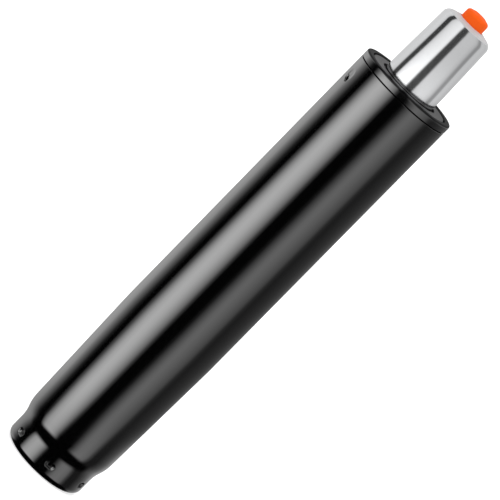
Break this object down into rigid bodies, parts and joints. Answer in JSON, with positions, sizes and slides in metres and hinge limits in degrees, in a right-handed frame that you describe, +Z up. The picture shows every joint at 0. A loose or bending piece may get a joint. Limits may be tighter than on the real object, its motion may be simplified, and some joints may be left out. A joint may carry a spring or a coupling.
{
  "type": "chair gas lift cylinder",
  "caption": "Lockable gas spring column for a swivel chair: a tapered stand tube, a chromed pressure tube that slides and turns in it, and a release button on top.",
  "frame": {"origin": "centre of the foot plane, on the column's axis", "axes": "+Z up the column towards the release button; -Y is the front of the picture"},
  "size_m": [0.05, 0.05, 0.284],
  "materials": {
    "black_paint": "gloss black paint",
    "collar_plastic": "black moulded plastic, satin",
    "bush_plastic": "black moulded plastic, matt",
    "rubber": "black nitrile rubber",
    "bumper_rubber": "black buffer rubber",
    "zinc_steel": "zinc-plated steel",
    "spring_steel": "oiled spring steel",
    "bearing_steel": "ground bearing steel",
    "ball_steel": "polished bearing balls",
    "cage_brass": "stamped brass",
    "column_chrome": "polished chrome",
    "rod_chrome": "hard chrome",
    "tube_steel": "drawn precision tube",
    "piston_metal": "turned aluminium",
    "guide_plastic": "natural acetal",
    "valve_metal": "die cast and machined",
    "valve_brass": "turned brass",
    "button_plastic": "orange moulded plastic"
  },
  "bodies": {
    "stand": {"stand_tube": "black_paint", "top_collar": "collar_plastic", "guide_bush": "bush_plastic", "wiper_ring": "rubber", "base_plug": "zinc_steel", "lower_race": "bearing_steel"},
    "bearing": {"ball_cage": "cage_brass", "bearing_balls": "ball_steel"},
    "rod": {"upper_race": "bearing_steel", "thrust_washer": "zinc_steel", "bumper": "bumper_rubber", "stop_washer": "zinc_steel", "piston_rod": "rod_chrome", "clip_washer": "zinc_steel", "retaining_clip": "spring_steel", "piston_washer": "zinc_steel", "piston": "piston_metal", "piston_seal": "rubber", "piston_nut": "zinc_steel"},
    "gas_cylinder": {"pressure_tube": "column_chrome", "end_washer": "zinc_steel", "rod_guide": "guide_plastic", "rod_seal": "rubber", "gas_port_ring": "guide_plastic", "inner_tube": "tube_steel", "valve_body": "valve_metal", "body_seal": "rubber", "spigot_seal": "rubber", "valve_seat": "valve_brass", "lower_pin_seal": "rubber", "valve_spacer": "valve_brass", "upper_pin_seal": "rubber"},
    "release": {"valve_pin": "bearing_steel", "release_button": "button_plastic"}
  },
  "joints": [
    {"name": "swivel", "type": "hinge", "parent": "stand", "child": "rod", "pos_m": [0, 0, 0], "axis": [0, 0, 1], "continuous": true},
    {"name": "cage_turn", "type": "hinge", "parent": "stand", "child": "bearing", "pos_m": [0, 0, 0], "axis": [0, 0, 1], "continuous": true},
    {"name": "lift", "type": "slide", "parent": "rod", "child": "gas_cylinder", "axis": [0, 0, 1], "range_m": [0, 0.12]},
    {"name": "release", "type": "slide", "parent": "gas_cylinder", "child": "release", "axis": [0, 0, -1], "range_m": [0, 0.0035], "stiffness_N_per_m": 3000}
  ],
  "couplings": [
    {"joint": "cage_turn", "follows": "swivel", "ratio": 0.5}
  ]
}
